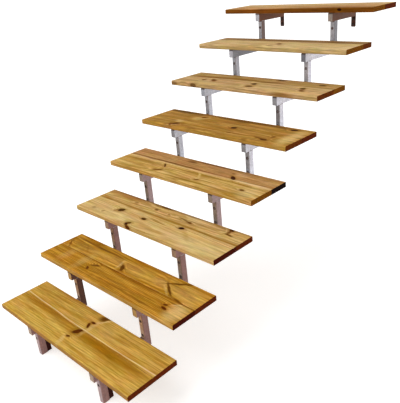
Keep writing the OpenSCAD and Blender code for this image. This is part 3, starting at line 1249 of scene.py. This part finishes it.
@dataclass
class TreadScrews(Fixings):
    """The hexagon-headed screws that hold each tread down, up through its arms."""

    name: ClassVar[str] = "screws_{side}_{step}"

    finish: PlainFinish = PlainFinish("zinc-plated steel, pressed", "#B4B2B0", 1.0, 0.38)
    places: tuple[float, float] = (81.0, 213.0)  # behind the arm's nose
    flats: float = 10.0
    head: float = 4.5
    chamfer: float = 0.7
    sunk: float = 0.8  # how far below the web the head starts
    flange: float = 1.4
    flange_edge: float = 0.6
    flange_radius: float = 7.0
    flange_fall: float = 1.6  # how far the flange draws in to its top
    flange_sides: int = 28
    radius: float = 3.0
    end: float = 0.5  # how far below the web the shank ends, inside the flange
    sides: int = 20  # of the shank

    def make(self, piece: Workpiece) -> None:
        """Makes the screws of one arm.

        Args:
            piece: The piece that gets them.
        """
        down = Vector((0, 0, -1))
        flange = rod(0.0, self.flange_edge, self.flange_radius)[:-1]
        flange += [(self.flange, self.flange_radius - self.flange_fall), (self.flange, 0.0)]
        under = piece.high.z - self.sheet * MM
        for place in self.places:
            web = Vector((piece.middle, piece.low.y + place * MM, under))
            piece.turned(flange, web, down, self.flange_sides)
            piece.turned(rod(-self.sheet, self.end, self.radius), web, down, self.sides)
            piece.hexagon(self.flats, self.head, self.chamfer, web + down * self.sunk * MM, down)


@dataclass
class WeldBeads(Fixings):
    """The weld beads between each arm and its post, one on either side."""

    name: ClassVar[str] = "welds_{side}_{step}"
    part: ClassVar[str] = "post"
    smooth: ClassVar[bool] = True

    finish: PlainFinish = PlainFinish("zinc over a weld bead, dipped", "#A7A4A8", 0.6, 0.5)
    radius: float = 2.0
    sunk: float = 0.9  # how deep the bead's middle lies inside the sheet's face
    ripple: float = 1.6
    valley: float = 0.9  # a valley's radius, as a share of its ripple's
    taper: float = 0.35  # how much thinner the bead is at its ends
    margin: float = 2.0
    places: tuple[float, float] = (0.2, 0.6)  # of valley and crest in a ripple
    sides: int = 14

    def make(self, piece: Workpiece) -> None:
        """Makes the beads of one post.

        Args:
            piece: The piece that gets them.
        """
        low, high = piece.low, piece.high
        count = int(((high.y - low.y) / MM - 2 * self.margin) / self.ripple)
        outline = [(0.0, 0.0)]
        for wave in range(count):
            swell = self.radius * (1 - self.taper * (2 * wave / (count - 1) - 1) ** 6)
            for place, radius in zip(self.places, (self.valley * swell, swell)):
                outline.append(((wave + place) * self.ripple, radius))
        outline.append((count * self.ripple, 0.0))
        for x, inward in ((low.x, 1), (high.x, -1)):
            start = Vector((x + inward * self.sunk * MM, low.y + self.margin * MM, high.z))
            piece.turned(outline, start, Vector((0, 1, 0)), self.sides)


# --------------------------------------------------------------------------------------- stage


@dataclass
class Stage:
    """The white studio: floor, surround, lamps and camera. Lengths here are in metres."""

    floor_size: float = 600.0
    floor_tone: float = 0.8  # how much light the floor gives back
    glow: float = 0.55  # and how much it gives of itself where it is background
    ambient: float = 0.42
    eye: Triple = (2.075, -2.919, 0.355)
    aim: Triple = (-0.653, 0.640, -0.406)
    roll: float = -5.15  # degrees
    lens: float = 46.75  # millimetres, as is the sensor
    sensor: float = 36.0
    farthest: float = 1000.0  # that the camera sees
    lamp_distance: float = 4.0
    lamps: tuple[tuple[str, Triple, float, float], ...] = (
        ("key_lamp", (-0.3, -0.55, 1.0), 1.5, 50.0),
        ("fill_lamp", (0.85, -0.45, 0.55), 0.5, 70.0),
        ("back_lamp", (-0.2, 0.8, 0.6), 0.35, 70.0),
    )  # name, where it stands from the object, strength, width in degrees

    def _background(self, add: AddNode, low: float, high: float) -> Node:
        """Adds a number that is high where the background shows, straight or by gloss or glass.

        Args:
            add: Adds a node.
            low: What other rays get.
            high: What rays that show the background get.

        Returns:
            The node that gives it.
        """
        path = add("LightPath").outputs
        seen = add("Math MAXIMUM", path["Is Camera Ray"], path["Is Glossy Ray"])
        seen = add("Math MAXIMUM", seen, path["Is Transmission Ray"])
        return add("MapRange", seen, To_Min=low, To_Max=high)

    def world(self) -> None:
        """Makes the white surround, which lights the object softly."""
        world = bpy.data.worlds.new("white studio")
        bpy.context.scene.world = world
        world.use_nodes = True
        world.node_tree.nodes.clear()
        add = partial(add_node, world.node_tree)
        strength = self._background(add, self.ambient, 1.0)
        add("OutputWorld", add("Background", WHITE, strength))

    def floor(self, height: float) -> None:
        """Lays the white floor.

        Args:
            height: Where its surface is.
        """
        mesh = bmesh.new()
        size = {"size": self.floor_size / 2, "matrix": Matrix.Translation((0, 0, height))}
        bmesh.ops.create_grid(mesh, x_segments=1, y_segments=1, **size)
        floor = meshed("floor", mesh)
        material, add = new_material("white painted floor, matt")
        diffuse = add("BsdfDiffuse", (*[self.floor_tone] * 3, 1))
        glow = add("Emission", WHITE, self._background(add, 0.0, self.glow))
        add("OutputMaterial", add("AddShader", diffuse, glow))
        dress(floor, material)
        floor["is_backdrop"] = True

    def light(self) -> None:
        """Hangs the lamps: far, wide and soft, so that they are even over the whole flight."""
        for name, place, strength, width in self.lamps:
            data = bpy.data.lights.new(name, "SUN")
            data.energy = strength
            data.angle = math.radians(width)
            direction = Vector(place)
            lamp = new_object(name, data)
            lamp.location = direction * self.lamp_distance
            lamp.rotation_mode = "QUATERNION"
            lamp.rotation_quaternion = (-direction).to_track_quat("-Z", "Y")

    def camera(self) -> None:
        """Sets up the camera."""
        data = bpy.data.cameras.new("camera")
        data.lens = self.lens
        data.sensor_width = self.sensor
        data.clip_end = self.farthest
        camera = new_object("camera", data)
        camera.location = self.eye
        camera.rotation_mode = "QUATERNION"
        roll = Quaternion((0, 0, 1), math.radians(self.roll))
        camera.rotation_quaternion = Vector(self.aim).to_track_quat("-Z", "Y") @ roll
        bpy.context.scene.camera = camera

    def build(self, ground: float) -> None:
        """Sets the whole stage.

        Args:
            ground: Height of the floor.
        """
        self.world()
        self.floor(ground)
        self.light()
        self.camera()
        bpy.context.scene.view_settings.view_transform = "Standard"
        LOG.info("stage: floor at %.3f m", ground)


def main() -> None:
    """Builds and dresses everything, in order."""
    logging.basicConfig(level=logging.INFO, format="%(name)s: %(message)s")
    for obj in list(bpy.data.objects):
        bpy.data.objects.remove(obj)
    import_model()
    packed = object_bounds()
    for dressed in (Treads(), Brackets(), Feet()):
        dressed.dress()
    for fixings in (JointBolts(), WallBolts(), TreadScrews(), WeldBeads()):
        fixings.build()
    Stage().build(packed[0].z)


if __name__ == "__main__":
    main()
